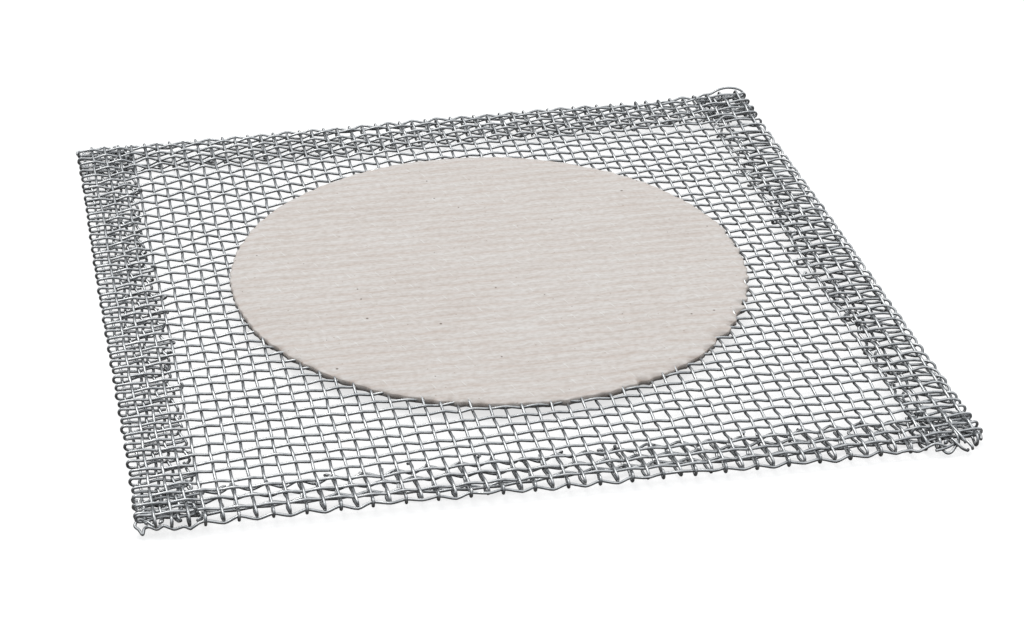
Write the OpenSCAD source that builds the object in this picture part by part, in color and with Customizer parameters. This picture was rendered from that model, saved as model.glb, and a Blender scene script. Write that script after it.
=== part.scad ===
// Wire gauze with a ceramic centre, laid on a tripod or ring over a burner.
// A square of plain woven steel wire is hemmed on all four sides: the left and
// right sides are folded under first, then the front and back strips over them.
// A round ceramic cake is pressed through the middle of the mesh.
//
// The wires lie in five layers, one wire apart, counted from the table up:
//   layer 1  weft wires of the folded strips
//   layer 2  warp wires on their way back under the hem
//   layer 3  weft wires on their way back, and the weft wire inside each fold
//   layer 4  warp wires of the mesh and of the side flaps
//   layer 5  weft wires of the mesh
// Each wire is drawn at its mean line, so the crimp of the weave is left out.
// Origin: middle of the underside, +Z up, warp wires along Y, weft wires along X.

/* [Gauze] */
// Side of the square over the folded edges
side = 150; // [125:1:180]
// Diameter of the wire
wire_d = 0.5; // [0.4:0.05:0.6]
// Distance between neighbouring warp wires, which run front to back
warp_pitch = 2.8; // [2.3:0.1:3.6]
// Distance between neighbouring weft wires, which run left to right
weft_pitch = 2.93; // [2.4:0.01:3.6]
// Clearance between wires that cross
cross_gap = 0.06; // [0.05:0.01:0.1]

/* [Hems] */
// Width of the hem folded under at the left and right
side_hem = 12.6; // [10:0.1:16]
// Width of the hem folded under at the front and back
end_hem = 12.8; // [10:0.1:16]
// How much shorter the shortest cut ends are than the longest
cut_step = 0.8; // [0:0.1:1.2]

/* [Ceramic cake] */
// Diameter of the cake
cake_d = 102; // [80:1:120]
// Ceramic above the upper wires
cake_cover = 0.4; // [0.35:0.05:2]
// Ceramic below the lower wires
cake_under = 0.5; // [0.4:0.05:0.65]
// Width of the broken edge round the cake
rim_edge = 0.3; // [0.1:0.05:0.3]
// Clearance of the ceramic round each wire
wire_fit = 0.02; // [0.005:0.005:0.02]
// How far the middle of the cake lies to the right
cake_x = 0.9; // [-3:0.1:3]
// How far the middle of the cake lies to the back
cake_y = 2; // [-3:0.1:3]

/* [Loose ends] */
// Length of the wire end that stands up at the back right corner
loose_up = 2.4; // [1:0.1:3]
// Length of the wire end that sticks out at the front right corner
loose_out = 1.2; // [0.5:0.1:3]
// Radius of the bend of a loose end
loose_r = 1; // [0.6:0.1:1.2]

/* [Hidden] */

$fn = 24;
steel = "lightslategray";
hem_steel = "slategray";
fold_steel = "silver";
ceramic = "antiquewhite";

layer_step = wire_d + cross_gap;
function layer_z(n) = wire_d / 2 + (n - 1) * layer_step;

// A fold turns round a centre one layer away from the wire's mean line.
fold_r = layer_step;
fold_reach = fold_r + wire_d / 2;
fold_at = side / 2 - fold_reach;

// Mesh wires stand in even rows about the middle, clear of the folds.
function wires_across(pitch) = 2 * floor((fold_at - layer_step) / pitch);
function wire_at(i, count, pitch) = (i - (count - 1) / 2) * pitch;
warp_count = wires_across(warp_pitch);
weft_count = wires_across(weft_pitch);

// The wires of a flap or strip lie halfway between those of the mesh above.
flap_warp_count = floor((side_hem - cut_step) / warp_pitch);
strip_weft_count = floor((end_hem - cut_step) / weft_pitch);
function under_at(k, count, pitch) = wire_at(k, count, pitch) - pitch / 2;

// Six groups of neighbouring wires each way
groups = 6;
function group_start(g, count) = round(g * count / groups);

// Cut ends are not all the same length.
cut_shares = [0, 1, 0.35, 0.7, 0.15];
function cut_back(i) = cut_step * cut_shares[i % len(cut_shares)];

cake_r = cake_d / 2;
cake_bottom = layer_z(4) - wire_d / 2 - cake_under;
cake_top = layer_z(5) + wire_d / 2 + cake_cover;
cake_h = cake_top - cake_bottom;
channel_d = wire_d + 2 * wire_fit;

// A round wire that starts at the origin along +X and stays in the XY plane.
// Each step is [length, 0] for a straight run or [radius, angle] for a bend,
// with a positive angle to the left and a negative one to the right.
module run(steps, i = 0) {
    if (i < len(steps)) {
        size = steps[i][0];
        turn = steps[i][1];
        way = turn < 0 ? -1 : 1;
        if (turn == 0) {
            rotate([0, 90, 0]) cylinder(h = size, d = wire_d);
            translate([size, 0, 0]) run(steps, i + 1);
        } else {
            translate([0, way * size, 0])
                rotate([0, 0, turn > 0 ? -90 : 90 + turn])
                    rotate_extrude(angle = abs(turn)) translate([size, 0]) circle(d = wire_d);
            translate([size * sin(abs(turn)), way * size * (1 - cos(turn)), 0])
                rotate([0, 0, turn]) run(steps, i + 1);
        }
    }
}

// A wire with both ends folded under, along X in the XZ plane with its mesh run
// two layers above the folded ends. The folded ends start at z = 0.
module hemmed(hem, cut_a, cut_b) {
    back = hem - fold_reach;
    rotate([90, 0, 0]) translate([-fold_at + back - cut_a, 0, 0]) rotate([0, 0, 180])
        run([[back - cut_a, 0], [fold_r, -180], [2 * fold_at, 0], [fold_r, -180], [back - cut_b, 0]]);
}

// A weft wire of the mesh, with its ends back in layer 3
module mesh_weft(i) {
    translate([0, wire_at(i, weft_count, weft_pitch), layer_z(3)])
        hemmed(side_hem, cut_back(i), cut_back(i + 2));
}

// A warp wire at x with its mesh run in layer 4 and its ends back in layer 2
module warp(x, i) {
    translate([x, 0, layer_z(2)]) rotate([0, 0, 90]) hemmed(end_hem, cut_back(i + 1), cut_back(i + 3));
}

// A weft wire of a folded strip: it lies upside down, with its ends up in layer 3
module strip_weft(y, i) {
    translate([0, y, layer_z(3)]) mirror([0, 0, 1]) hemmed(side_hem, cut_back(i + 3), cut_back(i));
}

module weft_group(g) {
    for (i = [group_start(g, weft_count) : group_start(g + 1, weft_count) - 1]) mesh_weft(i);
}

module warp_group(g) {
    for (i = [group_start(g, warp_count) : group_start(g + 1, warp_count) - 1])
        warp(wire_at(i, warp_count, warp_pitch), i);
}

module weft_wires_front_edge() { color(steel) weft_group(0); }
module weft_wires_front() { color(steel) weft_group(1); }
module weft_wires_front_middle() { color(steel) weft_group(2); }
module weft_wires_back_middle() { color(steel) weft_group(3); }
module weft_wires_back() { color(steel) weft_group(4); }
module weft_wires_back_edge() { color(steel) weft_group(5); }

module warp_wires_left_edge() { color(steel) warp_group(0); }
module warp_wires_left() { color(steel) warp_group(1); }
module warp_wires_left_middle() { color(steel) warp_group(2); }
module warp_wires_right_middle() { color(steel) warp_group(3); }
module warp_wires_right() { color(steel) warp_group(4); }
module warp_wires_right_edge() { color(steel) warp_group(5); }

// Warp wires of the side flaps: way is -1 at the left and 1 at the right
module flap_warps(way) {
    color(hem_steel)
        for (k = [0 : flap_warp_count - 1])
            warp(-way * under_at(k, warp_count, warp_pitch), k);
}

module flap_warp_wires_left() { flap_warps(-1); }
module flap_warp_wires_right() { flap_warps(1); }

// Weft wires of the folded strips: way is -1 at the front and 1 at the back
module strip_wefts(way) {
    color(hem_steel)
        for (k = [0 : strip_weft_count - 1])
            strip_weft(-way * under_at(k, weft_count, weft_pitch), k);
}

module strip_weft_wires_front() { strip_wefts(-1); }
module strip_weft_wires_back() { strip_wefts(1); }

// The weft wire that the warp wires turn round at each end fold. Its right end
// has sprung loose: it stands up at the back and sticks out at the front.
fold_wire_length = 2 * fold_at - loose_r;

module fold_weft_wire_back() {
    color(fold_steel) translate([-fold_at, fold_at, layer_z(3)]) rotate([90, 0, 0])
        run([[fold_wire_length, 0], [loose_r, 90], [loose_up, 0]]);
}

module fold_weft_wire_front() {
    color(fold_steel) translate([-fold_at, -fold_at, layer_z(3)])
        run([[fold_wire_length, 0], [loose_r, -60], [loose_out, 0]]);
}

// A round channel along X or Y, starting at the given point
module channel_x(x, y, z, way, h) {
    translate([x, y, z]) rotate([0, way * 90, 0]) cylinder(h = h, d = channel_d);
}

module channel_y(x, y, z, h) {
    translate([x, y, z]) rotate([-90, 0, 0]) cylinder(h = h, d = channel_d);
}

reach = cake_r + channel_d;
hem_inside = side / 2 - side_hem;

// Channels for the mesh wires that pass through the cake
module mesh_channels() {
    for (i = [0 : warp_count - 1]) {
        x = wire_at(i, warp_count, warp_pitch);
        if (abs(x - cake_x) < reach) channel_y(x, cake_y - reach, layer_z(4), 2 * reach);
    }
    for (i = [0 : weft_count - 1]) {
        y = wire_at(i, weft_count, weft_pitch);
        if (abs(y - cake_y) < reach) channel_x(cake_x - reach, y, layer_z(5), 1, 2 * reach);
    }
}

// Room for the side hem's wires where a large cake comes down over them
module hem_channels(way) {
    if (cake_r + way * cake_x > hem_inside - wire_fit) {
        for (i = [0 : weft_count - 1])
            channel_x(
                way * (hem_inside - wire_fit), wire_at(i, weft_count, weft_pitch),
                layer_z(3), way, side_hem
            );
        for (k = [0 : flap_warp_count - 1]) {
            x = -way * under_at(k, warp_count, warp_pitch);
            if (abs(x - cake_x) < reach) channel_y(x, cake_y - reach, layer_z(4), 2 * reach);
        }
    }
}

module ceramic_cake() {
    color(ceramic) difference() {
        translate([cake_x, cake_y, cake_bottom])
            rotate_extrude($fn = 180)
                polygon([
                    [0, 0], [cake_r - rim_edge, 0], [cake_r, rim_edge],
                    [cake_r, cake_h - rim_edge], [cake_r - rim_edge, cake_h], [0, cake_h]
                ]);
        mesh_channels();
        for (way = [-1, 1]) hem_channels(way);
    }
}

weft_wires_back_edge();
weft_wires_back();
weft_wires_back_middle();
weft_wires_front_middle();
weft_wires_front();
weft_wires_front_edge();
warp_wires_left_edge();
warp_wires_left();
warp_wires_left_middle();
warp_wires_right_middle();
warp_wires_right();
warp_wires_right_edge();
flap_warp_wires_left();
flap_warp_wires_right();
strip_weft_wires_back();
strip_weft_wires_front();
fold_weft_wire_back();
fold_weft_wire_front();
ceramic_cake();
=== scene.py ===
"""Looks of a hemmed wire gauze with a ceramic centre.

The mesh is woven here wire by wire. A flat plain weave is laid out in sheet
coordinates (u across, v from front to back), each wire going over and under
its neighbours, and the sheet is then folded in the order a real gauze is: the
left and right flaps first, then the front and back strips over them. Lengths
are in millimetres until the meshes are made.
"""
import math

import bpy
import numpy as np
from mathutils import Matrix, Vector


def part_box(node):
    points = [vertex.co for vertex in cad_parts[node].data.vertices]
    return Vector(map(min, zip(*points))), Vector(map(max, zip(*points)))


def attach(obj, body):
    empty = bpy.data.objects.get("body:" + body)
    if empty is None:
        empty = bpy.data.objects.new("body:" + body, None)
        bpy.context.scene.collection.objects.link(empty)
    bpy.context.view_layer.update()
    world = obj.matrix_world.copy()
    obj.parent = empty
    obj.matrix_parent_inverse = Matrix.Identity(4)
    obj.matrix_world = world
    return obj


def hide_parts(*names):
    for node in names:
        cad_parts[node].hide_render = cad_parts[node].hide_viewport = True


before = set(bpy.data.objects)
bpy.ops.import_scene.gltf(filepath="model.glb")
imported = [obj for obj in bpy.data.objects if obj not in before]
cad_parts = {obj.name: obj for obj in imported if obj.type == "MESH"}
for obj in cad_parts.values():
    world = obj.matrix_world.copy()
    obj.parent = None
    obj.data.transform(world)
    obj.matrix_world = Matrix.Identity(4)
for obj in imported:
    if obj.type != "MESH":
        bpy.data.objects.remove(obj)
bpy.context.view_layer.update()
MM = 0.001
rng = np.random.default_rng(41)


# ---------------------------------------------------------------- dimensions
def box_mm(node):
    low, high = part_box(node)
    return np.array(low) / MM, np.array(high) / MM


CAKE_LOW, CAKE_HIGH = box_mm("ceramic_cake")
MESH_TOP = box_mm("weft_wires_front")[1][2]
HALF = box_mm("weft_wires_front")[1][0]

# The CAD's wire and the mesh's layout. An eight-sided tube of TUBE_R looks as thick.
WIRE_R = 0.25
TUBE_R = 0.265
WARP_PITCH = 2.8
WARP_COUNT = 52
WEFT_PITCH = 2.93
WEFT_COUNT = 50
FLAP_COUNT = 4

# Places along a wire where its path is worked out.
PLACES_A_PITCH = 5
FOLD_STEP = 0.16
LEAST_STEP = 0.12
FOLD_MARGIN = 0.3

# How far wires leave the sheet where they cross. Weft and warp share CRIMP_SUM.
CRIMP_SUM = 2 * TUBE_R
BACK_WEFT_CRIMP = 0.34
FRONT_WEFT_CRIMP = 0.15
FLAP_CRIMP = 0.24
FOLD_CRIMP = 0.42
NUB_OUT = 0.2
NUB_IN = -0.11
WEFT_UNEVEN = 0.12
WARP_UNEVEN = 0.06
MID_Z = MESH_TOP - 2 * WIRE_R

# The left and right folds.
SIDE_INSET = 0.35
SIDE_FOLD_R = 0.58
SIDE_FOLD_AT = HALF - SIDE_INSET - WIRE_R - SIDE_FOLD_R
SIDE_ARC = math.pi * SIDE_FOLD_R
FLAP_DEPTH = 0.78
FLAP_SETTLES = 5.0
FLAP_SHEAR = 2.6
FLAP_SHEAR_SPAN = (68.0, 50.0)
RIGHT_EDGE_SHIFT = 1.2

# The front and back folds, wider over the flaps' ends and lifted in the corners.
EDGE_Y = HALF - 1.12
MID_FOLD_R = 0.62
CORNER_FOLD_R = 1.02
WIDER_SPAN = (56.0, 66.0)
LEAST_INNER_R = 0.15
CORNER_LIFT = 0.35
CORNER_SPAN = (58.0, 68.0)
BACK_FOLD_WEFT_ANGLE = 1.15
FRONT_FOLD_WEFT_ANGLE = 1.95
FRONT_STRIP_WEFTS = [70.4, 69.5, 66.8, 64.2]
DOUBLED_GAP = 0.62

# Wander of the wires: crossings between bends, and size.
WARP_WANDER = ((7, 0.13), (2, 0.05))
WEFT_WANDER = ((6, 0.22), (2, 0.10))
WARP_JITTER = 0.04
WEFT_JITTER = 0.05
ALTERNATING = 0.07
OUTER_WARP_WANDER = (4, 0.24)
OUTER_WEFT_WANDER = (4, 0.26)
LOOSENESS = [1.0, 0.6, 0.35, 0.15]
LOOSE_WARP = 0.38
LOOSE_WEFT = 0.42


def ease(low, high, x):
    t = np.clip((x - low) / (high - low), 0.0, 1.0)
    return t * t * (3.0 - 2.0 * t)


# ------------------------------------------------------------ folded surface
def end_fold_r(x):
    """Radius of the front and back folds, wider where the flaps lie inside."""
    return MID_FOLD_R + (CORNER_FOLD_R - MID_FOLD_R) * ease(*WIDER_SPAN, np.abs(x))


def side_fold(u):
    """Where a flat point goes in the left and right folds: x, depth, angle."""
    a = np.abs(u)
    angle = np.clip((a - SIDE_FOLD_AT) / SIDE_FOLD_R, 0.0, math.pi)
    past = np.clip(a - SIDE_FOLD_AT - SIDE_ARC, 0.0, None)
    x = np.minimum(a, SIDE_FOLD_AT) + SIDE_FOLD_R * np.sin(angle) - past
    x = np.where(past > 0, SIDE_FOLD_AT - past, x)
    depth = SIDE_FOLD_R * (1.0 - np.cos(angle))
    depth -= (2.0 * SIDE_FOLD_R - FLAP_DEPTH) * ease(0.0, FLAP_SETTLES, past)
    return np.sign(u) * x, depth, angle


def folded(u, v):
    """Point and normal of the folded sheet at the flat point (u, v)."""
    x, depth, side_angle = side_fold(u)
    r = end_fold_r(x)
    b = np.abs(v)
    start = EDGE_Y - r
    angle = np.clip((b - start) / r, 0.0, math.pi)
    past = np.clip(b - start - math.pi * r, 0.0, None)
    inner = np.maximum(r - depth, LEAST_INNER_R)
    y = np.where(angle > 0, start + inner * np.sin(angle) - past, b)
    lift = CORNER_LIFT * ease(*CORNER_SPAN, np.abs(x)) * ease(*CORNER_SPAN, y)
    z = MID_Z + lift - r + np.where(angle > 0, inner * np.cos(angle), r - depth)
    way = np.sign(v)
    point = np.stack([x, way * y, z], -1)
    normal = np.stack([
        np.sign(u) * np.sin(side_angle),
        way * np.sin(angle) * np.cos(side_angle),
        np.cos(angle) * np.cos(side_angle),
    ], -1)
    return point, normal


def settled(p):
    """The small twist and waviness of the whole gauze.

    x and y run from -1 to 1 across it. The lines are: a skew with a wavy edge,
    the front right corner pushed back, wavy side edges, a twist with a shallow
    wave, and the raised back right corner.
    """
    x, y = p[:, 0] / HALF, p[:, 1] / HALF
    q = p.copy()
    q[:, 1] += 0.65 * x * y + 0.12 * np.sin(5.1 * x + 0.4) * y ** 3
    q[:, 1] += 0.9 * ease(0.6, 0.95, x) * ease(-0.7, -0.97, y)
    q[:, 0] += 0.12 * np.sin(4.3 * y + 1.0) * x ** 3
    q[:, 2] += 0.4 * (1.0 + x * y) + 0.07 * np.sin(4.0 * x + 1.3) * np.sin(3.4 * y)
    q[:, 2] += 0.45 * ease(0.75, 1.0, x) * ease(0.75, 1.0, y)
    return q


# ------------------------------------------------------------------ the weave
def mirrored(values):
    return np.concatenate([-np.array(values)[::-1], values])


def flat_warps():
    """Flat positions of the warp wires, flaps included, from left to right."""
    mesh = WARP_PITCH * (np.arange(WARP_COUNT // 2) + 0.5)
    first = mesh[-1] + WARP_PITCH / 2
    flap = 2 * SIDE_FOLD_AT + SIDE_ARC - (first - WARP_PITCH * np.arange(FLAP_COUNT))
    return mirrored(np.concatenate([mesh, flap]))


WARPS = flat_warps()
WEFTS_A_SIDE = WEFT_COUNT // 2
WARP_TOTAL = len(WARPS)
WEFT_TOTAL = WEFT_COUNT + 2 + 2 * FLAP_COUNT


def flat_weft(j, x):
    """Flat position v of weft wire j where it lies above or below x."""
    k = j - WEFT_TOTAL // 2 if j >= WEFT_TOTAL // 2 else WEFT_TOTAL // 2 - 1 - j
    way = 1.0 if j >= WEFT_TOTAL // 2 else -1.0
    r = end_fold_r(x)
    last = WEFT_PITCH * (WEFTS_A_SIDE - 0.5)
    if k < WEFTS_A_SIDE:
        v = WEFT_PITCH * (k + 0.5) + 0.0 * x
    elif k == WEFTS_A_SIDE:  # the wire that the end fold turns round
        v = EDGE_Y - r + r * (BACK_FOLD_WEFT_ANGLE if way > 0 else FRONT_FOLD_WEFT_ANGLE)
    else:
        under = last + WEFT_PITCH / 2 - WEFT_PITCH * (k - WEFTS_A_SIDE - 1)
        if way < 0:
            under = FRONT_STRIP_WEFTS[k - WEFTS_A_SIDE - 1]
        v = 2 * (EDGE_Y - r) + math.pi * r - under
    return way * v


def wandering(count, step, size):
    """A smooth random wander over count crossings."""
    knots = rng.normal(0.0, size, count // step + 3)
    at = np.arange(count) / step
    i = at.astype(int)
    t = at - i
    t = t * t * (3 - 2 * t)
    return knots[i] * (1 - t) + knots[i + 1] * t


# +1 where the weft wire lies over the warp wire, -1 where it lies under it.
SIGN = np.where(np.add.outer(np.arange(WARP_TOTAL), np.arange(WEFT_TOTAL)) % 2 == 0, 1.0, -1.0)


def wander_of(count, wanders):
    """The sum of a slow and a quick wander, drawn in that order."""
    return sum(wandering(count, step, size) for step, size in wanders)


def outermost(total):
    """Numbers of the wires that lie only in the flaps or strips."""
    return list(range(FLAP_COUNT)) + list(range(total - FLAP_COUNT, total))


def looseness(total):
    """How loosely each wire lies: most at the cut edges, 0 in the mesh."""
    loose = np.zeros(total)
    loose[:FLAP_COUNT] = LOOSENESS
    loose[-FLAP_COUNT:] = LOOSENESS[::-1]
    return loose


def crossings():
    """Flat position (u, v) of every crossing, [warp, weft], with its wander."""
    x = side_fold(WARPS)[0]
    u = np.repeat(WARPS[:, None], WEFT_TOTAL, 1)
    v = np.stack([flat_weft(j, x) for j in range(WEFT_TOTAL)], 1)
    for i in range(WARP_TOTAL):
        u[i] += wander_of(WEFT_TOTAL, WARP_WANDER)
    for j in range(WEFT_TOTAL):
        v[:, j] += wander_of(WARP_TOTAL, WEFT_WANDER)
    u += ALTERNATING * SIGN + rng.normal(0, WARP_JITTER, u.shape)
    v += rng.normal(0, WEFT_JITTER, v.shape)
    flap = FLAP_COUNT
    v[-flap:] -= FLAP_SHEAR * ease(*FLAP_SHEAR_SPAN, np.abs(v[-flap:]))
    u[-flap - 1] += RIGHT_EDGE_SHIFT
    u[-flap - 2] += 0.4 * RIGHT_EDGE_SHIFT
    u[-flap] -= 0.5 * RIGHT_EDGE_SHIFT
    u += looseness(WARP_TOTAL)[:, None] * LOOSE_WARP * SIGN
    v += looseness(WEFT_TOTAL)[None, :] * LOOSE_WEFT * SIGN
    for i in outermost(WARP_TOTAL):
        u[i] += wandering(WEFT_TOTAL, *OUTER_WARP_WANDER)
    for j in outermost(WEFT_TOTAL):
        v[:, j] += wandering(WARP_TOTAL, *OUTER_WEFT_WANDER)
    v[:, flap - 1] = v[:, flap - 2] + DOUBLED_GAP
    return u, v


CROSS_U, CROSS_V = crossings()


def weft_crimps():
    """How far each weft wire leaves the sheet at each crossing.

    The weft takes most of the crimp at the back left and the warp most of it at
    the front, after the photo.
    """
    point, _ = folded(CROSS_U, CROSS_V)
    x, y = point[..., 0], point[..., 1]
    share = ease(-50.0, 55.0, y) * (0.15 + 0.85 * ease(25.0, -60.0, x))
    crimp = FRONT_WEFT_CRIMP + (BACK_WEFT_CRIMP - FRONT_WEFT_CRIMP) * share
    crimp[:FLAP_COUNT] = FLAP_CRIMP
    crimp[-FLAP_COUNT:] = FLAP_CRIMP
    crimp[:, :FLAP_COUNT] = FLAP_CRIMP
    crimp[:, -FLAP_COUNT:] = FLAP_CRIMP
    return crimp


CRIMP = weft_crimps()
FOLD_WEFTS = (FLAP_COUNT, WEFT_TOTAL - 1 - FLAP_COUNT)


def flowing(at, knots, values):
    """Smooth curve through (knots, values), read at the places in at."""
    i = np.clip(np.searchsorted(knots, at) - 1, 0, len(knots) - 2)
    slope = np.gradient(values, knots)
    h = knots[i + 1] - knots[i]
    t = np.clip((at - knots[i]) / h, -0.6, 1.6)
    a, b = values[i], values[i + 1]
    ma, mb = slope[i] * h, slope[i + 1] * h
    t2, t3 = t * t, t * t * t
    start = (2 * t3 - 3 * t2 + 1) * a + (t3 - 2 * t2 + t) * ma
    return start + (3 * t2 - 2 * t3) * b + (t3 - t2) * mb


def crimped(at, knots, heights):
    """Over and under between crossings: straight flanks with rounded tops."""
    i = np.clip(np.searchsorted(knots, at) - 1, 0, len(knots) - 2)
    t = np.clip((at - knots[i]) / (knots[i + 1] - knots[i]), 0.0, 1.0)
    rounded = t * t * (3 - 2 * t)
    t = 0.35 * t + 0.65 * rounded
    return heights[i] * (1 - t) + heights[i + 1] * t


def sample_places(knots, folds):
    """Places along a wire: a few between crossings, and closer in the folds."""
    spans = zip(knots[:-1], knots[1:])
    parts = [np.linspace(a, b, PLACES_A_PITCH, endpoint=False) for a, b in spans]
    parts.append(knots[-1:])
    for low, high in folds:
        parts.append(np.arange(low, high, FOLD_STEP))
    places = np.unique(np.concatenate(parts))
    keep = [places[0]]
    for place in places[1:]:
        if place - keep[-1] > LEAST_STEP:
            keep.append(place)
    return np.array(keep)


def both_folds(start, arc):
    """The flat stretches taken up by the two folds that start at that distance."""
    near, far = start - FOLD_MARGIN, start + arc + FOLD_MARGIN
    return [(-far, -near), (near, far)]




def weft_path(j):
    knots = CROSS_U[:, j]
    size = FOLD_CRIMP if j in FOLD_WEFTS else CRIMP[:, j]
    heights = SIGN[:, j] * size * (1 + WEFT_UNEVEN * rng.normal(size=WARP_TOTAL))
    u = sample_places(knots, both_folds(SIDE_FOLD_AT, SIDE_ARC))
    v = flowing(u, knots, CROSS_V[:, j])
    point, normal = folded(u, v)
    return point + normal * crimped(u, knots, heights)[:, None]


def warp_path(i):
    knots = CROSS_V[i]
    uneven = 1 + WARP_UNEVEN * rng.normal(size=WEFT_TOTAL)
    heights = -SIGN[i] * (CRIMP_SUM - CRIMP[i]) * uneven
    for j in FOLD_WEFTS:
        heights[j] = NUB_OUT if SIGN[i, j] < 0 else NUB_IN
    x = side_fold(WARPS[i])[0]
    r = float(end_fold_r(x))
    v = sample_places(knots, both_folds(EDGE_Y - r, math.pi * r))
    u = flowing(v, knots, CROSS_U[i])
    point, normal = folded(u, v)
    return point + normal * crimped(v, knots, heights)[:, None]


# ------------------------------------------------------------------- cut ends
def unit(a):
    return a / max(np.linalg.norm(a), 1e-9)


def turned(direction, axis, angle):
    axis = unit(axis)
    c, s = math.cos(angle), math.sin(angle)
    return direction * c + np.cross(axis, direction) * s + axis * (axis @ direction) * (1 - c)


def end_points(tip, direction, towards, length, radius, angle):
    """A cut end: a straight stub, then a curl of that radius and angle."""
    direction = unit(direction)
    axis = np.cross(direction, towards)
    if np.linalg.norm(axis) < 1e-3:
        axis = np.cross(direction, SLANTED)
    points = []
    p = tip + direction * length
    points.append(p)
    for _ in range(int(angle / CURL_STEP)):
        direction = turned(direction, axis, CURL_STEP)
        p = p + direction * radius * CURL_STEP
        points.append(p)
    return points


UP = np.array([0.0, 0.0, 1.0])
# Bends an end whose curl has no direction of its own.
SLANTED = np.array([0.3, 0.4, 0.86])
# Shares of the cut ends: hooked upwards, slightly bent upwards, and the rest hooked
# to one side.
HOOKED_UP = 0.45
BENT_UP = 0.75
MOST_CUT = 5
CURL_STEP = math.radians(22)


def cut_end(path, at_start):
    """Extends one end of a path by a seeded cut end, most with a small hook."""
    if at_start:
        path = path[::-1]
    path = path[: len(path) - rng.integers(0, MOST_CUT)]
    tip, before = path[-1], path[-3]
    direction = tip - before
    kind = rng.random()
    sideways = np.cross(direction, UP) * rng.choice([-1, 1])
    if kind < HOOKED_UP:
        towards = UP + 0.5 * rng.normal() * unit(sideways)
        stub = 0.3 + 2.6 * kind
        radius, angle = rng.uniform(0.5, 0.85), rng.uniform(1.6, 3.6)
    elif kind < BENT_UP:
        towards = UP
        stub, radius, angle = rng.uniform(0.3, 1.0), 1.6, rng.uniform(0.2, 0.8)
    else:
        towards = unit(sideways) + 0.3 * UP
        stub = 0.3 + 5.0 * (kind - BENT_UP)
        radius, angle = rng.uniform(0.5, 0.9), rng.uniform(1.0, 3.0)
    extra = end_points(tip, direction, towards, stub, radius, angle)
    path = np.concatenate([path, np.array(extra)])
    return path[::-1] if at_start else path


# ------------------------------------------------------- listed ends
def through(points, steps=6):
    """A smooth curve through a few points, denser than they are."""
    p = np.array(points, float)
    p = np.concatenate([2 * p[:1] - p[1:2], p, 2 * p[-1:] - p[-2:-1]])
    t = np.linspace(0, 1, steps, endpoint=False)[:, None]
    curve = []
    for a, b, c, d in zip(p[:-3], p[1:-2], p[2:-1], p[3:]):
        curve.append(0.5 * (2 * b + (c - a) * t + (2 * a - 5 * b + 4 * c - d) * t ** 2
                            + (3 * b - a - 3 * c + d) * t ** 3))
    return np.concatenate(curve + [p[-2:-1]])


# Where the two fold wires leave the weave: the corner loop at the back right, the
# kinked loop at the front left and the tucked end at the front right. Then short
# stray ends of other pieces, which start inside the hem. All are x, y, z.
JOIN_BEFORE = 1.4
BACK_RIGHT_LOOP = [
    (64.8, 73.6, 3.6), (66.6, 73.9, 3.5), (68.6, 74.5, 4.1), (70.6, 74.6, 4.4), (72.6, 74.4, 4.2),
    (73.9, 74.1, 3.7), (74.3, 73.6, 3.1), (73.6, 73.2, 2.6), (72.2, 73.3, 2.3)]
FRONT_RIGHT_END = [
    (60.0, -74.2, 1.7), (61.4, -74.4, 1.4), (62.9, -74.0, 1.7), (64.5, -73.8, 2.2), (65.5, -74.1, 2.2),
    (66.3, -74.3, 1.8), (67.0, -74.0, 1.4)]
FRONT_LEFT_LOOP = [
    (-65.8, -74.1, 1.5), (-66.8, -73.8, 1.9), (-68.3, -73.7, 1.5), (-69.2, -73.5, 1.8), (-70.1, -73.1, 2.0),
    (-71.2, -73.3, 1.6), (-72.4, -72.8, 1.9), (-73.2, -72.6, 1.5), (-73.6, -73.4, 0.9), (-74.1, -72.7, 1.4),
    (-74.7, -71.9, 1.8), (-74.0, -71.0, 2.3), (-72.9, -71.7, 2.4), (-71.6, -73.0, 2.1), (-70.6, -73.0, 1.8)]
STRAY_ENDS = {
    "strip_weft_wires_front": [
        [(68.7, -73.6, 1.9), (67.8, -74.0, 1.8), (66.9, -74.3, 1.6), (65.7, -74.6, 1.5), (64.5, -74.7, 1.4)],
        [(69.0, -73.5, 2.0), (68.4, -74.1, 1.5), (67.5, -74.8, 0.9), (66.7, -74.9, 0.7), (66.1, -74.4, 1.0),
         (66.0, -73.8, 1.2)]],
    "flap_warp_wires_right": [
        [(68.0, -73.0, 2.4), (68.5, -74.3, 2.2), (69.2, -75.1, 1.6), (70.3, -75.0, 0.9), (70.7, -74.4, 0.7)],
        [(69.0, -68.6, 3.0), (69.0, -70.2, 3.2), (69.4, -72.4, 3.1), (69.8, -74.0, 2.7), (70.1, -74.4, 2.1)],
        [(70.8, -73.4, 1.8), (71.2, -74.6, 1.5), (71.4, -74.8, 0.9)]],
    "weft_wires_front_edge": [
        [(62.9, -71.5, 2.4), (64.2, -71.3, 2.5), (65.4, -70.8, 2.6), (66.3, -71.3, 2.2)]],
    "strip_weft_wires_back": [
        [(70.2, 60.6, 1.9), (69.3, 61.3, 2.7), (68.4, 61.8, 3.3), (67.1, 61.9, 3.5), (65.9, 61.4, 3.6),
         (64.6, 60.1, 3.5), (63.2, 58.4, 3.3)]],
}


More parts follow.
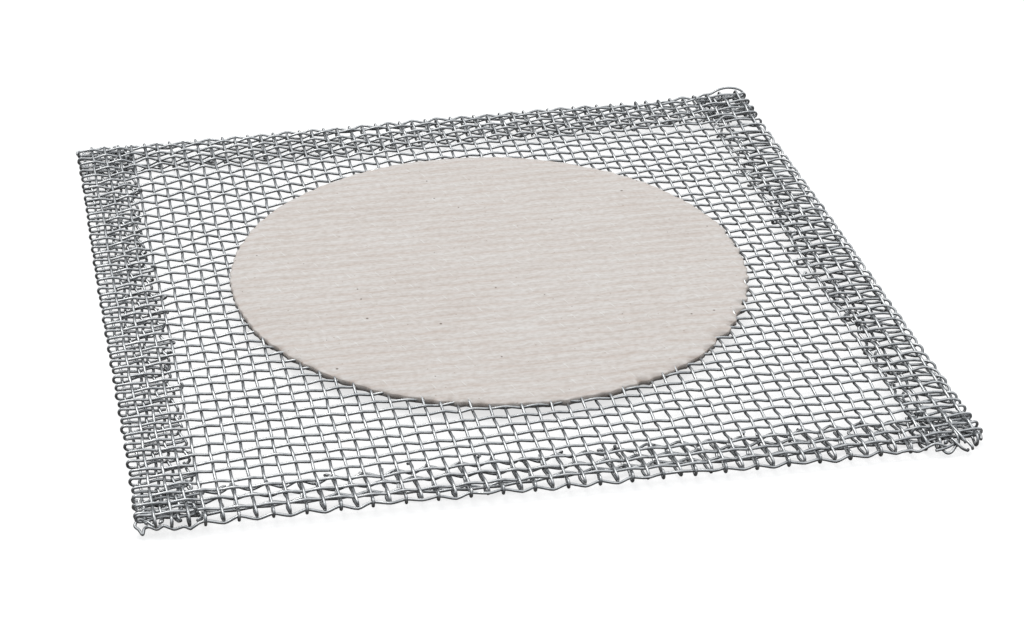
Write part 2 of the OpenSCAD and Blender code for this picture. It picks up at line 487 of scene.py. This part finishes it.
def with_bent_ends(path, node):
    """Swaps the ends of a fold wire for the listed bent ends."""
    if node == "fold_weft_wire_back":
        kept = path[: np.argmax(path[:, 0] > BACK_RIGHT_LOOP[0][0] - JOIN_BEFORE)]
        return np.concatenate([kept, through(BACK_RIGHT_LOOP)])
    kept = path[: np.argmax(path[:, 0] > FRONT_RIGHT_END[0][0] - JOIN_BEFORE)]
    first = len(kept) - np.argmax(kept[::-1, 0] < FRONT_LEFT_LOOP[0][0] + JOIN_BEFORE)
    return np.concatenate([through(FRONT_LEFT_LOOP)[::-1], kept[first:], through(FRONT_RIGHT_END)])


# -------------------------------------------------------------- meshes of wire
SIDES = 8
# A direction that no wire starts along, so that its cross product never vanishes.
ACROSS_NO_WIRE = [0.31, 0.52, 0.79]


def tube(path):
    """Rings of vertices along a path, with frames carried along without twist."""
    tangent = np.gradient(path, axis=0)
    tangent /= np.linalg.norm(tangent, axis=1)[:, None]
    normal = np.cross(tangent[0], ACROSS_NO_WIRE)
    frames = []
    for t in tangent:
        normal = normal - t * (normal @ t)
        normal = normal / np.linalg.norm(normal)
        frames.append(normal)
    normals = np.array(frames)
    binormals = np.cross(tangent, normals)
    turn = np.linspace(0, 2 * math.pi, SIDES, endpoint=False)
    across, up = np.cos(turn)[None, :, None], np.sin(turn)[None, :, None]
    ring = across * normals[:, None, :] + up * binormals[:, None, :]
    return (path[:, None, :] + TUBE_R * ring).reshape(-1, 3)


def wires_object(name, paths):
    """One object of several separate closed wires."""
    vertices, faces = [], []
    base = 0
    for path in paths:
        rings = tube(path)
        n = len(path)
        caps = np.concatenate([rings[:SIDES], rings[-SIDES:]])
        vertices.append(rings)
        vertices.append(caps)
        k = np.arange(SIDES)
        nxt = (k + 1) % SIDES
        row = base + SIDES * np.arange(n - 1)[:, None]
        quads = np.stack([row + k, row + nxt, row + SIDES + nxt, row + SIDES + k], -1).reshape(-1, 4)
        faces += quads.tolist()
        cap = base + SIDES * n
        faces.append((cap + k[::-1]).tolist())
        faces.append((cap + SIDES + k).tolist())
        base = cap + 2 * SIDES
    mesh = bpy.data.meshes.new(name)
    mesh.from_pydata(np.concatenate(vertices) * MM, [], faces)
    mesh.polygons.foreach_set("use_smooth", [len(f) == 4 for f in faces])
    mesh.validate()
    obj = bpy.data.objects.new(name, mesh)
    bpy.context.scene.collection.objects.link(obj)
    return obj


# ------------------------------------------------------------------ materials
# Noise scales are per metre, as object coordinates are in metres.
def new_material(name):
    material = bpy.data.materials.new(name)
    material.use_nodes = True
    nodes = material.node_tree.nodes
    return material, nodes, material.node_tree.links, nodes["Principled BSDF"]


def noise(nodes, links, coords, scale, detail, stretch=(1, 1, 1)):
    mapping = nodes.new("ShaderNodeMapping")
    mapping.inputs["Scale"].default_value = stretch
    links.new(coords, mapping.inputs["Vector"])
    texture = nodes.new("ShaderNodeTexNoise")
    texture.inputs["Scale"].default_value = scale
    texture.inputs["Detail"].default_value = detail
    links.new(mapping.outputs["Vector"], texture.inputs["Vector"])
    return texture.outputs["Fac"]


def ramp(nodes, links, value, stops):
    node = nodes.new("ShaderNodeValToRGB")
    elements = node.color_ramp.elements
    while len(elements) < len(stops):
        elements.new(0.5)
    for element, (place, colour) in zip(elements, stops):
        element.position = place
        element.color = (*colour, 1.0)
    links.new(value, node.inputs["Fac"])
    return node.outputs["Color"]


def galvanised():
    material, nodes, links, shader = new_material("galvanised_wire")
    coords = nodes.new("ShaderNodeTexCoord").outputs["Object"]
    blotch = noise(nodes, links, coords, 700.0, 4.0)
    colour = ramp(nodes, links, blotch, [
        (0.28, (0.34, 0.35, 0.36)), (0.5, (0.50, 0.512, 0.52)), (0.75, (0.66, 0.66, 0.655))])
    links.new(colour, shader.inputs["Base Color"])
    rough = ramp(nodes, links, blotch, [(0.3, (0.42, 0.42, 0.42)), (0.75, (0.3, 0.3, 0.3))])
    links.new(rough, shader.inputs["Roughness"])
    shader.inputs["Metallic"].default_value = 0.95
    grain = noise(nodes, links, coords, 3500.0, 2.0)
    bump = nodes.new("ShaderNodeBump")
    bump.inputs["Strength"].default_value = 0.18
    bump.inputs["Distance"].default_value = 0.00004
    links.new(grain, bump.inputs["Height"])
    links.new(bump.outputs["Normal"], shader.inputs["Normal"])
    return material


WIRE = galvanised()


def finish_piece(obj, material, slot, *nodes):
    obj.data.materials.append(material)
    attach(obj, "root")
    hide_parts(*nodes)


# --------------------------------------------------------------- wire pieces
WEFT_GROUPS = ["front_edge", "front", "front_middle", "back_middle", "back", "back_edge"]
WARP_GROUPS = ["left_edge", "left", "left_middle", "right_middle", "right", "right_edge"]


def shared_out(first, count, groups):
    """The count wires from number first, shared out over the named groups."""
    for g, place in enumerate(groups):
        low, high = round(g * count / len(groups)), round((g + 1) * count / len(groups))
        yield place, range(first + low, first + high)


def wire_plan():
    """Each node with what draws its wires and their numbers, in drawing order."""
    first, last = FOLD_WEFTS
    for place, wires in shared_out(first + 1, WEFT_COUNT, WEFT_GROUPS):
        yield weft_path, f"weft_wires_{place}", wires
    yield weft_path, "strip_weft_wires_front", range(FLAP_COUNT)
    yield weft_path, "strip_weft_wires_back", range(WEFT_TOTAL - FLAP_COUNT, WEFT_TOTAL)
    yield weft_path, "fold_weft_wire_front", [first]
    yield weft_path, "fold_weft_wire_back", [last]
    for place, wires in shared_out(FLAP_COUNT, WARP_COUNT, WARP_GROUPS):
        yield warp_path, f"warp_wires_{place}", wires
    yield warp_path, "flap_warp_wires_left", range(FLAP_COUNT)
    yield warp_path, "flap_warp_wires_right", range(WARP_TOTAL - FLAP_COUNT, WARP_TOTAL)


def build_wires():
    for path_of, node, wires in wire_plan():
        paths = []
        for k in wires:
            path = path_of(k)
            path = cut_end(cut_end(path, True), False)
            path = settled(path)
            if node.startswith("fold_weft"):
                path = with_bent_ends(path, node)
            path[:, 2] = np.maximum(path[:, 2], TUBE_R)
            paths.append(path)
        paths += [through(points) for points in STRAY_ENDS.get(node, [])]
        finish_piece(wires_object("woven_" + node, paths), WIRE, "wire", node)


build_wires()


# ---------------------------------------------------------------- the ceramic
CAKE_X, CAKE_Y = (CAKE_LOW[0] + CAKE_HIGH[0]) / 2, (CAKE_LOW[1] + CAKE_HIGH[1]) / 2
CAKE_R = (CAKE_HIGH[0] - CAKE_LOW[0]) / 2
TOP_CELLS = 270
UNDER_RINGS = 14
RIB_HEIGHT = 0.085
HUMP_HEIGHT = 0.05
RIM_INSET = 0.5
RIM_SLOPE = 0.22
BITE_DROP = 0.36
UNDER_INSET = 0.08
UNDER_RIB = 0.06
UNDER_EDGE = 0.42
UNDER_MIDDLE = 0.1
BITES_FROM, BITES_TO = -152.0, 8.0
DEEP_FROM, DEEP_TO = -72, -12
DEEP_BITE, SHALLOW_BITE = 0.85, 0.4


def make_bites():
    """Places along the front where the rim broke back: angle, half width, depth."""
    bites = []
    angle = BITES_FROM
    while angle < BITES_TO:
        deep = DEEP_BITE if DEEP_FROM < angle < DEEP_TO else SHALLOW_BITE
        half = rng.uniform(1.3, 2.7)
        bites.append((math.radians(angle), half / CAKE_R, deep * rng.uniform(0.45, 1.15)))
        angle += math.degrees((half + rng.uniform(1.0, 3.2)) / CAKE_R)
    return bites


BITES = make_bites()


def bite_depth(angle):
    depth = np.zeros_like(angle)
    for middle, half, deep in BITES:
        depth = np.maximum(depth, deep * np.clip(1 - ((angle - middle) / half) ** 2, 0, 1))
    return depth


def rim_radius(angle):
    """The rim runs out a little along each wire that it meets, and is bitten at the front."""
    x, y = CAKE_X + CAKE_R * np.cos(angle), CAKE_Y + CAKE_R * np.sin(angle)
    along_warps = np.cos(2 * math.pi * (x / WARP_PITCH - 0.5)) * np.sin(angle) ** 2
    along_wefts = np.cos(2 * math.pi * (y / WEFT_PITCH - 0.5)) * np.cos(angle) ** 2
    wander = 0.10 * np.sin(3 * angle + 1) + 0.08 * np.sin(11 * angle) + 0.07 * np.sin(29 * angle + 2)
    runs_out = 0.14 * along_warps + 0.12 * along_wefts
    return CAKE_R - RIM_INSET + runs_out + wander - bite_depth(angle)


def disc_grid(cells):
    """A square grid of points bent into a unit disc."""
    s = np.linspace(-1, 1, cells + 1)
    a, b = np.meshgrid(s, s)
    return a * np.sqrt(1 - b * b / 2), b * np.sqrt(1 - a * a / 2)


def relief(x, y):
    """Height of the pressed surface: low ribs over the weft wires, humps over warps."""
    weft_at, warp_at = y / WEFT_PITCH - 0.5, x / WARP_PITCH - 0.5
    wave = 0.12 * np.sin(0.31 * x + 0.11 * y) + 0.08 * np.sin(0.83 * x + 1.1)
    ribs = (0.5 + 0.5 * np.cos(2 * math.pi * (weft_at + wave))) ** 0.7
    strength = 0.65 + 0.35 * np.sin(0.13 * x + 0.9 * np.sin(0.21 * y)) * np.cos(0.17 * y)
    odd = (np.round(weft_at) + np.round(warp_at)) % 2 == 1
    du = (warp_at - np.round(warp_at)) * WARP_PITCH
    dv = (weft_at - np.round(weft_at)) * WEFT_PITCH
    hump = np.where(odd, np.exp(-(du / 0.35) ** 2 - (dv / 0.7) ** 2), 0)
    return RIB_HEIGHT * strength * ribs + HUMP_HEIGHT * hump


def rim_drop(bitten, edge):
    """How far the surface has come down at a distance edge from the rim."""
    gentle = RIM_SLOPE * np.exp(-(edge / 1.6) ** 1.5)
    steep = np.exp(-(edge / (0.1 + 0.9 * bitten)) ** 1.8)
    return gentle + BITE_DROP * np.clip(bitten / 0.5, 0, 1) * steep


def cake_top():
    """Points, faces and rim tone of the upper face (the ceramic thinning at the rim, with painted shade
    strongest at the front), and its rim: points and angles.
    """
    n = TOP_CELLS + 1
    gx, gy = disc_grid(TOP_CELLS)
    angle = np.arctan2(gy, gx)
    radius = rim_radius(angle)
    x, y = CAKE_X + gx * radius, CAKE_Y + gy * radius
    edge = np.clip((1 - np.sqrt(gx * gx + gy * gy)) * radius, 0, None)
    bitten = bite_depth(angle)
    z = CAKE_HIGH[2] - RIB_HEIGHT - HUMP_HEIGHT + relief(x, y) - rim_drop(bitten, edge)
    # Painted shade on the rim, strongest at the front and in the bites, where the ceramic also runs out
    # thinly.
    at_front = ease(0.35, -0.6, np.sin(angle)) * (0.4 + 0.6 * bitten)
    thin_rim_shade = np.exp(-edge / (0.12 + 0.5 * bitten)) * at_front
    i = np.arange((n - 1) * n).reshape(n - 1, n)[:, :-1].ravel()
    faces = np.stack([i, i + 1, i + n + 1, i + n], -1).tolist()
    number = np.arange(n * n).reshape(n, n)
    rim = np.concatenate([number[0], number[1:, -1], number[-1, -2::-1], number[-2:0:-1, 0]])
    return np.stack([x, y, z], -1).reshape(-1, 3), faces, thin_rim_shade.ravel(), rim, angle.ravel()[rim]


def under_ring(turn, share):
    """Points of the underside at that share of the rim's radius."""
    r = rim_radius(turn) * share
    x, y = CAKE_X + r * np.cos(turn), CAKE_Y + r * np.sin(turn)
    near_rim = np.exp(-((1 - share) * CAKE_R / RIM_INSET) ** 1.4)
    ribs = UNDER_RIB * np.cos(2 * math.pi * y / WEFT_PITCH) * (1 - near_rim)
    return np.stack([x, y, CAKE_LOW[2] + UNDER_INSET + ribs + UNDER_EDGE * near_rim], -1)


def ceramic_object():
    """The cake as one closed mesh. Its rim shade attribute is 1 where the rim runs out: the ceramic's own
    darker thinning edge with painted shade.
    """
    top, faces, thin_rim_shade, ring, turn = cake_top()
    points, size, start = [top], len(ring), len(top)
    for step in range(UNDER_RINGS):
        points.append(under_ring(turn, 1.0 - (step / UNDER_RINGS) ** 1.5))
        lower = start + np.arange(size)
        faces += np.stack([ring, lower, np.roll(lower, -1), np.roll(ring, -1)], -1).tolist()
        ring = lower
        start += size
    points.append(np.array([[CAKE_X, CAKE_Y, CAKE_LOW[2] + UNDER_MIDDLE]]))
    faces += [[int(a), start, int(b)] for a, b in zip(ring, np.roll(ring, -1))]
    mesh = bpy.data.meshes.new("ceramic")
    mesh.from_pydata(settled(np.concatenate(points)) * MM, [], faces)
    mesh.polygons.foreach_set("use_smooth", [True] * len(faces))
    # Painted shade and thinning tone at the rim, read by the material.
    layer = mesh.attributes.new("thin_rim_shade", "FLOAT", "POINT")
    layer.data.foreach_set("value", np.concatenate([thin_rim_shade, np.zeros(UNDER_RINGS * size + 1)]))
    mesh.validate()
    obj = bpy.data.objects.new("pressed_ceramic_cake", mesh)
    bpy.context.scene.collection.objects.link(obj)
    return obj


def maths(nodes, links, operation, *values):
    node = nodes.new("ShaderNodeMath")
    node.operation = operation
    for socket, value in zip(node.inputs, values):
        if isinstance(value, (int, float)):
            socket.default_value = value
        else:
            links.new(value, socket)
    return node.outputs["Value"]


def fading(nodes, links, value, full, none):
    """1 up to full, then smoothly down to 0 at none."""
    node = nodes.new("ShaderNodeMapRange")
    node.interpolation_type = "SMOOTHSTEP"
    node.inputs["From Min"].default_value = none
    node.inputs["From Max"].default_value = full
    links.new(value, node.inputs["Value"])
    return node.outputs["Result"]


def tinted(nodes, links, colour, mask, strength, tint, blend="MULTIPLY"):
    node = nodes.new("ShaderNodeMix")
    node.data_type = "RGBA"
    node.blend_type = blend
    links.new(maths(nodes, links, "MULTIPLY", mask, strength), node.inputs[0])
    links.new(colour, node.inputs[6])
    node.inputs[7].default_value = (*tint, 1.0)
    return node.outputs[2]


def highlit_crossing_ticks(nodes, links, x, y):
    """Short narrow lines over every second crossing, where a warp lies just below: the mask of painted
    highlights over the warp humps, also raised in the bump.
    """
    def nearest(value, pitch):
        scaled = maths(nodes, links, "SUBTRACT", maths(nodes, links, "DIVIDE", value, pitch * MM), 0.5)
        whole = maths(nodes, links, "ROUND", scaled)
        return whole, maths(nodes, links, "SUBTRACT", scaled, whole)

    i, du = nearest(x, WARP_PITCH)
    j, dv = nearest(y, WEFT_PITCH)
    odd = maths(nodes, links, "FLOORED_MODULO", maths(nodes, links, "ADD", i, j), 2.0)
    cell = nodes.new("ShaderNodeCombineXYZ")
    links.new(i, cell.inputs[0])
    links.new(j, cell.inputs[1])
    chance = nodes.new("ShaderNodeTexWhiteNoise")
    chance.noise_dimensions = "3D"
    links.new(cell.outputs[0], chance.inputs["Vector"])
    centred = maths(nodes, links, "SUBTRACT", chance.outputs["Value"], 0.5)
    shift = maths(nodes, links, "MULTIPLY", centred, 0.22)
    lean = maths(nodes, links, "MULTIPLY", dv, maths(nodes, links, "ADD", shift, 0.33))
    leaning = maths(nodes, links, "ADD", maths(nodes, links, "ADD", du, shift), lean)
    across = maths(nodes, links, "ABSOLUTE", leaning)
    along = maths(nodes, links, "ABSOLUTE", maths(nodes, links, "ADD", dv, shift))
    mask = maths(nodes, links, "MULTIPLY", fading(nodes, links, across, 0.015, 0.06),
                 fading(nodes, links, along, 0.14, 0.38))
    shown = fading(nodes, links, chance.outputs["Value"], 0.9, 0.3)
    return maths(nodes, links, "MULTIPLY", maths(nodes, links, "MULTIPLY", mask, odd), shown)


def specks(nodes, links, coords, scale, radius, kept):
    """Small round grains in a share kept of a random pattern's cells; radius in mm."""
    texture = nodes.new("ShaderNodeTexVoronoi")
    texture.voronoi_dimensions = "2D"
    texture.inputs["Scale"].default_value = scale
    links.new(coords, texture.inputs["Vector"])
    chance = nodes.new("ShaderNodeSeparateColor")
    links.new(texture.outputs["Color"], chance.inputs[0])
    size = maths(nodes, links, "MULTIPLY", chance.outputs[1], radius * scale * MM)
    near = maths(nodes, links, "LESS_THAN", texture.outputs["Distance"], size)
    return maths(nodes, links, "MULTIPLY", near, maths(nodes, links, "LESS_THAN", chance.outputs[0], kept))


SCRATCH_TINT = (0.955, 0.93, 0.91)


def ceramic_material():
    material, nodes, links, shader = new_material("pressed_ceramic")
    coords = nodes.new("ShaderNodeTexCoord").outputs["Object"]
    split = nodes.new("ShaderNodeSeparateXYZ")
    links.new(coords, split.inputs[0])
    x, y = split.outputs[0], split.outputs[1]
    cloud = noise(nodes, links, coords, 110.0, 5.0, (0.6, 1.4, 1))
    colour = ramp(nodes, links, cloud, [
        (0.3, (0.609, 0.563, 0.531)), (0.5, (0.629, 0.585, 0.554)), (0.72, (0.644, 0.607, 0.580))])
    # Dark lines in the grooves between the ribs are painted shade, wavering; fainter dark lines lie a third
    # as far apart.
    bend = maths(nodes, links, "SUBTRACT", noise(nodes, links, coords, 260.0, 2.0, (0.5, 1, 1)), 0.5)
    waver = maths(nodes, links, "MULTIPLY", bend, 0.95)
    turns = maths(nodes, links, "ADD", maths(nodes, links, "DIVIDE", y, WEFT_PITCH * MM), waver)
    wave = maths(nodes, links, "COSINE", maths(nodes, links, "MULTIPLY", turns, 2 * math.pi))
    shaded_groove = fading(nodes, links, wave, 0.99, 0.58)
    patchy = fading(nodes, links, noise(nodes, links, coords, 520.0, 4.0, (0.4, 1, 1)), 0.56, 0.26)
    shaded_groove = maths(nodes, links, "MULTIPLY", shaded_groove, patchy)
    # Painted shade in the grooves between the ribs.
    colour = tinted(nodes, links, colour, shaded_groove, 0.7, (0.935, 0.885, 0.855))
    between = maths(nodes, links, "COSINE", maths(nodes, links, "MULTIPLY", turns, 6 * math.pi))
    fine = maths(nodes, links, "MULTIPLY", fading(nodes, links, between, 0.99, 0.5), patchy)
    colour = tinted(nodes, links, colour, fine, 0.3, SCRATCH_TINT)
    # Scratches along the ribs, painted highlights on the rib crests, mottling, and the pale ticks over the
    # crossings, which are painted highlights.
    streak = fading(nodes, links, noise(nodes, links, coords, 1500.0, 3.0, (0.12, 1, 1)), 0.72, 0.42)
    colour = tinted(nodes, links, colour, streak, 0.6, SCRATCH_TINT)
    # Painted highlight: the rib crests paler.
    highlit_crest = maths(nodes, links, "MULTIPLY", fading(nodes, links, wave, -0.98, -0.4), patchy)
    colour = tinted(nodes, links, colour, highlit_crest, 0.4, (0.70, 0.69, 0.67), "MIX")
    mottle = fading(nodes, links, noise(nodes, links, coords, 1700.0, 2.0, (0.55, 1, 1)), 0.68, 0.36)
    colour = tinted(nodes, links, colour, mottle, 1.0, (0.895, 0.875, 0.855))
    # Painted highlights: pale ticks over the warp humps at the crossings.
    highlit_ticks = highlit_crossing_ticks(nodes, links, x, y)
    colour = tinted(nodes, links, colour, highlit_ticks, 0.5, (0.80, 0.795, 0.775), "MIX")
    # Brown specks: many small pale ones, and a few larger dark ones.
    small = specks(nodes, links, coords, 420.0, 0.17, 0.34)
    colour = tinted(nodes, links, colour, small, 0.55, (0.55, 0.44, 0.36))
    large = specks(nodes, links, coords, 230.0, 0.26, 0.10)
    colour = tinted(nodes, links, colour, large, 0.85, (0.24, 0.19, 0.16))
    # The rim is darker where the ceramic runs out thinly over the wires: partly its own tone there, partly
    # painted shade on the front rim and in the bites.
    thin_rim_shade = nodes.new("ShaderNodeAttribute")
    thin_rim_shade.attribute_name = "thin_rim_shade"
    colour = tinted(nodes, links, colour, thin_rim_shade.outputs["Fac"], 1.0, (0.60, 0.545, 0.50))
    links.new(colour, shader.inputs["Base Color"])
    shader.inputs["Roughness"].default_value = 0.82
    grain = noise(nodes, links, coords, 2600.0, 5.0)
    height = maths(nodes, links, "ADD", grain, maths(nodes, links, "MULTIPLY", highlit_ticks, 0.9))
    height = maths(nodes, links, "SUBTRACT", height, maths(nodes, links, "MULTIPLY", shaded_groove, 0.5))
    bump = nodes.new("ShaderNodeBump")
    bump.inputs["Strength"].default_value = 0.45
    bump.inputs["Distance"].default_value = 0.00008
    links.new(height, bump.inputs["Height"])
    links.new(bump.outputs["Normal"], shader.inputs["Normal"])
    return material


finish_piece(ceramic_object(), ceramic_material(), "ceramic", "ceramic_cake")


# ------------------------------------------------------------- floor and light
FLOOR_SIZE = 6.0
FLOOR_GREY = (0.36, 0.36, 0.36, 1)
FLOOR_GLOW = 0.73
FLOOR_MIRRORED = (0.09, 0.085, 0.08, 1)
SKY_BRIGHTEST = (0.03, 0.1, 0.995)
SKY_STOPS = [(0.0, (0.12, 0.13, 0.14)), (0.45, (0.38, 0.40, 0.42)), (0.88, (1.32, 1.35, 1.38))]
SKY_STRENGTH = 0.93
# Name, place and size in metres, power in watts, colour.
LIGHTS = [
    ("key", (-0.25, 0.45, 1.1), 0.55, 4.2, (1.0, 0.98, 0.95)),
    ("fill", (0.9, 0.3, 0.6), 0.5, 1.5, (1.0, 0.98, 0.96)),
]
# The viewing angle: from the front, a little left, looking down. Distances and the
# place looked at are in millimetres, as are the sensor and the lens.
CAMERA_HEADING = math.radians(12.833)
CAMERA_DOWN = math.radians(29.346)
CAMERA_ROLL = math.radians(0.970)
CAMERA_DISTANCE = 478.82
CAMERA_TARGET = np.array([1.19, -16.77, MID_Z + 0.4])
CAMERA_SENSOR = 36.0
CAMERA_LENS = 88.836328125


def pale_floor():
    """A floor that is nearly white to the camera and dark grey to all other rays."""
    bpy.ops.mesh.primitive_plane_add(size=FLOOR_SIZE, location=(0, 0, 0))
    floor = bpy.context.object
    floor.name = "floor"
    material, nodes, links, shader = new_material("pale_floor")
    shader.inputs["Base Color"].default_value = FLOOR_GREY
    shader.inputs["Emission Color"].default_value = (1.0, 1.0, 1.0, 1)
    shader.inputs["Emission Strength"].default_value = FLOOR_GLOW
    shader.inputs["Roughness"].default_value = 0.9
    around = nodes.new("ShaderNodeBsdfDiffuse")
    around.inputs["Color"].default_value = FLOOR_MIRRORED
    mix = nodes.new("ShaderNodeMixShader")
    links.new(nodes.new("ShaderNodeLightPath").outputs["Is Camera Ray"], mix.inputs[0])
    links.new(around.outputs[0], mix.inputs[1])
    links.new(shader.outputs[0], mix.inputs[2])
    links.new(mix.outputs[0], nodes["Material Output"].inputs[0])
    floor.data.materials.append(material)


def soft_sky():
    """Brightest overhead and darker towards the horizon."""
    world = bpy.data.worlds.new("studio")
    bpy.context.scene.world = world
    world.use_nodes = True
    nodes, links = world.node_tree.nodes, world.node_tree.links
    slope = nodes.new("ShaderNodeVectorMath")
    slope.operation = "DOT_PRODUCT"
    slope.inputs[1].default_value = SKY_BRIGHTEST
    links.new(nodes.new("ShaderNodeTexCoord").outputs["Generated"], slope.inputs[0])
    background = nodes["Background"]
    links.new(ramp(nodes, links, slope.outputs["Value"], SKY_STOPS), background.inputs["Color"])
    background.inputs["Strength"].default_value = SKY_STRENGTH


def soft_lights():
    for name, place, size, power, colour in LIGHTS:
        light = bpy.data.lights.new(name, "AREA")
        light.shape = "DISK"
        light.size = size
        light.energy = power
        light.color = colour
        obj = bpy.data.objects.new(name, light)
        obj.location = place
        x, y, z = -np.array(place)
        obj.rotation_euler = (math.atan2(math.hypot(x, y), -z), 0, math.atan2(-x, y))
        bpy.context.scene.collection.objects.link(obj)


def camera():
    heading, down = CAMERA_HEADING, CAMERA_DOWN
    forward = np.array([
        math.sin(heading) * math.cos(down), math.cos(heading) * math.cos(down), -math.sin(down)])
    data = bpy.data.cameras.new("camera")
    data.sensor_width = CAMERA_SENSOR
    data.lens = CAMERA_LENS
    data.clip_end = 20.0
    obj = bpy.data.objects.new("camera", data)
    obj.location = (CAMERA_TARGET - forward * CAMERA_DISTANCE) * MM
    obj.rotation_mode = "XYZ"
    turn = Matrix.Rotation(-heading, 4, "Z") @ Matrix.Rotation(math.pi / 2 - down, 4, "X")
    turn = turn @ Matrix.Rotation(CAMERA_ROLL, 4, "Z")
    obj.rotation_euler = turn.to_euler()
    bpy.context.scene.collection.objects.link(obj)
    bpy.context.scene.camera = obj


pale_floor()
soft_sky()
soft_lights()
bpy.context.scene.view_settings.view_transform = "Standard"
camera()
